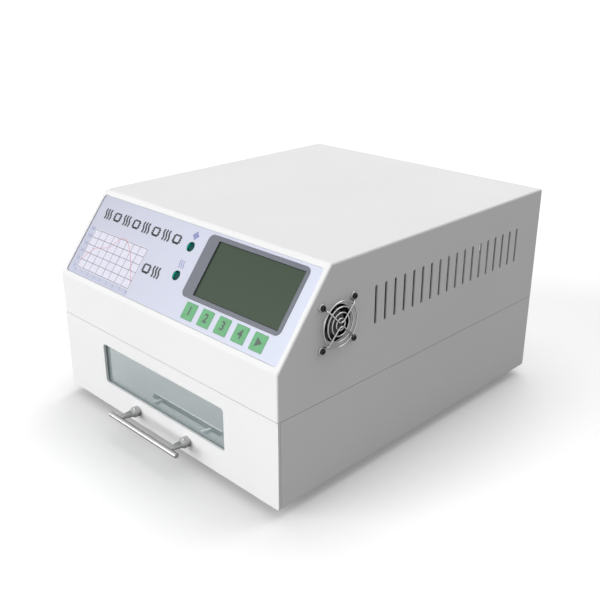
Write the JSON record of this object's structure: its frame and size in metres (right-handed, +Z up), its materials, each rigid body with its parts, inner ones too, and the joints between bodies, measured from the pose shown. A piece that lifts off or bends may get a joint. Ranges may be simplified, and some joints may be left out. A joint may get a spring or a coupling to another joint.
{
  "type": "reflow oven",
  "caption": "Benchtop drawer oven for reflow soldering: white sheet-metal case, sloping console with display and keys, glazed pull-out drawer, guarded side fan and vent slots.",
  "frame": {"origin": "centre of the footprint box on the table, under the case", "axes": "+Z up, +X to the right as seen from the front, +Y from the drawer front to the back"},
  "size_m": [0.2766, 0.3458, 0.18],
  "materials": {
    "white_paint": "satin powder coat",
    "overlay_film": "matt printed film",
    "bezel_grey": "matt",
    "lcd_pane": "gloss",
    "key_green": "satin",
    "led_green": "gloss",
    "circuit_board": "satin",
    "black_plastic": "satin",
    "bright_wire": "bright plated",
    "handle_chrome": "polished",
    "black_screws": "black oxide",
    "steel_screws": "zinc plated",
    "foot_rubber": "matt",
    "seal_rubber": "matt",
    "window_pane": "clear",
    "steel_sheet": "brushed",
    "slide_steel": "zinc plated",
    "bright_aluminium": "bright",
    "heater_quartz": "milky",
    "heater_ceramic": "matt",
    "ceramic_wool": "felted",
    "pin_brass": "nickel or plain",
    "core_iron": "laminated, varnished",
    "coil_tape": "taped winding"
  },
  "bodies": {
    "cabinet": {"base_housing": "white_paint", "top_cover": "white_paint", "rear_panel": "white_paint", "control_overlay": "overlay_film", "lcd_bezel": "bezel_grey", "lcd_glass": "lcd_pane", "lower_led": "led_green", "upper_led": "led_green", "lcd_board": "circuit_board", "control_board": "circuit_board", "power_board": "circuit_board", "key_switches": "black_plastic", "side_fan_frame": "black_plastic", "exhaust_fan_frame": "black_plastic", "power_inlet": "black_plastic", "switch_body": "black_plastic", "triacs": "black_plastic", "fan_guard": "bright_wire", "guard_screws": "black_screws", "exhaust_screws": "black_screws", "case_screws": "steel_screws", "rubber_feet": "foot_rubber", "chamber_hood": "steel_sheet", "chamber_floor": "steel_sheet", "exhaust_duct": "steel_sheet", "electronics_deck": "steel_sheet", "thermocouples": "steel_sheet", "slide_outer_right": "slide_steel", "slide_outer_left": "slide_steel", "reflector": "bright_aluminium", "heat_sink": "bright_aluminium", "heater_tubes": "heater_quartz", "heater_caps": "heater_ceramic", "insulation_blanket": "ceramic_wool", "inlet_pins": "pin_brass", "board_standoffs": "pin_brass", "transformer_core": "core_iron", "transformer_coil": "coil_tape"},
    "drawer": {"drawer_front": "white_paint", "window_gasket": "seal_rubber", "window_glass": "window_pane", "window_retainer": "steel_sheet", "retainer_screws": "steel_screws", "handle_bar": "handle_chrome", "handle_posts": "handle_chrome", "handle_screws": "steel_screws", "drawer_tray": "steel_sheet", "wire_rack": "bright_wire", "slide_inner_right": "slide_steel", "slide_inner_left": "slide_steel"},
    "slide_middle_right": {"slide_middle_right": "slide_steel"},
    "slide_middle_left": {"slide_middle_left": "slide_steel"},
    "side_fan_rotor": {"side_fan_rotor": "black_plastic"},
    "exhaust_fan_rotor": {"exhaust_fan_rotor": "black_plastic"},
    "rocker": {"rocker": "black_plastic"},
    "key_1": {"key_1": "key_green"},
    "key_2": {"key_2": "key_green"},
    "key_3": {"key_3": "key_green"},
    "key_4": {"key_4": "key_green"},
    "key_5": {"key_5": "key_green"}
  },
  "joints": [
    {"name": "drawer_slide", "type": "slide", "parent": "cabinet", "child": "drawer", "axis": [0, -1, 0], "range_m": [0, 0.2]},
    {"name": "slide_middle_right_travel", "type": "slide", "parent": "cabinet", "child": "slide_middle_right", "axis": [0, -1, 0], "range_m": [0, 0.1]},
    {"name": "slide_middle_left_travel", "type": "slide", "parent": "cabinet", "child": "slide_middle_left", "axis": [0, -1, 0], "range_m": [0, 0.1]},
    {"name": "side_fan_spin", "type": "hinge", "parent": "cabinet", "child": "side_fan_rotor", "pos_m": [0.13, -0.09452, 0.1352], "axis": [1, 0, 0], "continuous": true},
    {"name": "exhaust_fan_spin", "type": "hinge", "parent": "cabinet", "child": "exhaust_fan_rotor", "pos_m": [0, 0.16298, 0.045], "axis": [0, 1, 0], "continuous": true},
    {"name": "rocker_tilt", "type": "hinge", "parent": "cabinet", "child": "rocker", "pos_m": [-0.058, 0.16718, 0.124], "axis": [1, 0, 0], "range_deg": [0, 20]},
    {"name": "key_1_press", "type": "slide", "parent": "cabinet", "child": "key_1", "axis": [0, 0.7852, -0.6192], "range_m": [0, 0.0005], "stiffness_N_per_m": 1500},
    {"name": "key_2_press", "type": "slide", "parent": "cabinet", "child": "key_2", "axis": [0, 0.7852, -0.6192], "range_m": [0, 0.0005], "stiffness_N_per_m": 1500},
    {"name": "key_3_press", "type": "slide", "parent": "cabinet", "child": "key_3", "axis": [0, 0.7852, -0.6192], "range_m": [0, 0.0005], "stiffness_N_per_m": 1500},
    {"name": "key_4_press", "type": "slide", "parent": "cabinet", "child": "key_4", "axis": [0, 0.7852, -0.6192], "range_m": [0, 0.0005], "stiffness_N_per_m": 1500},
    {"name": "key_5_press", "type": "slide", "parent": "cabinet", "child": "key_5", "axis": [0, 0.7852, -0.6192], "range_m": [0, 0.0005], "stiffness_N_per_m": 1500}
  ],
  "couplings": [
    {"joint": "slide_middle_right_travel", "follows": "drawer_slide", "ratio": 0.5},
    {"joint": "slide_middle_left_travel", "follows": "drawer_slide", "ratio": 0.5}
  ]
}
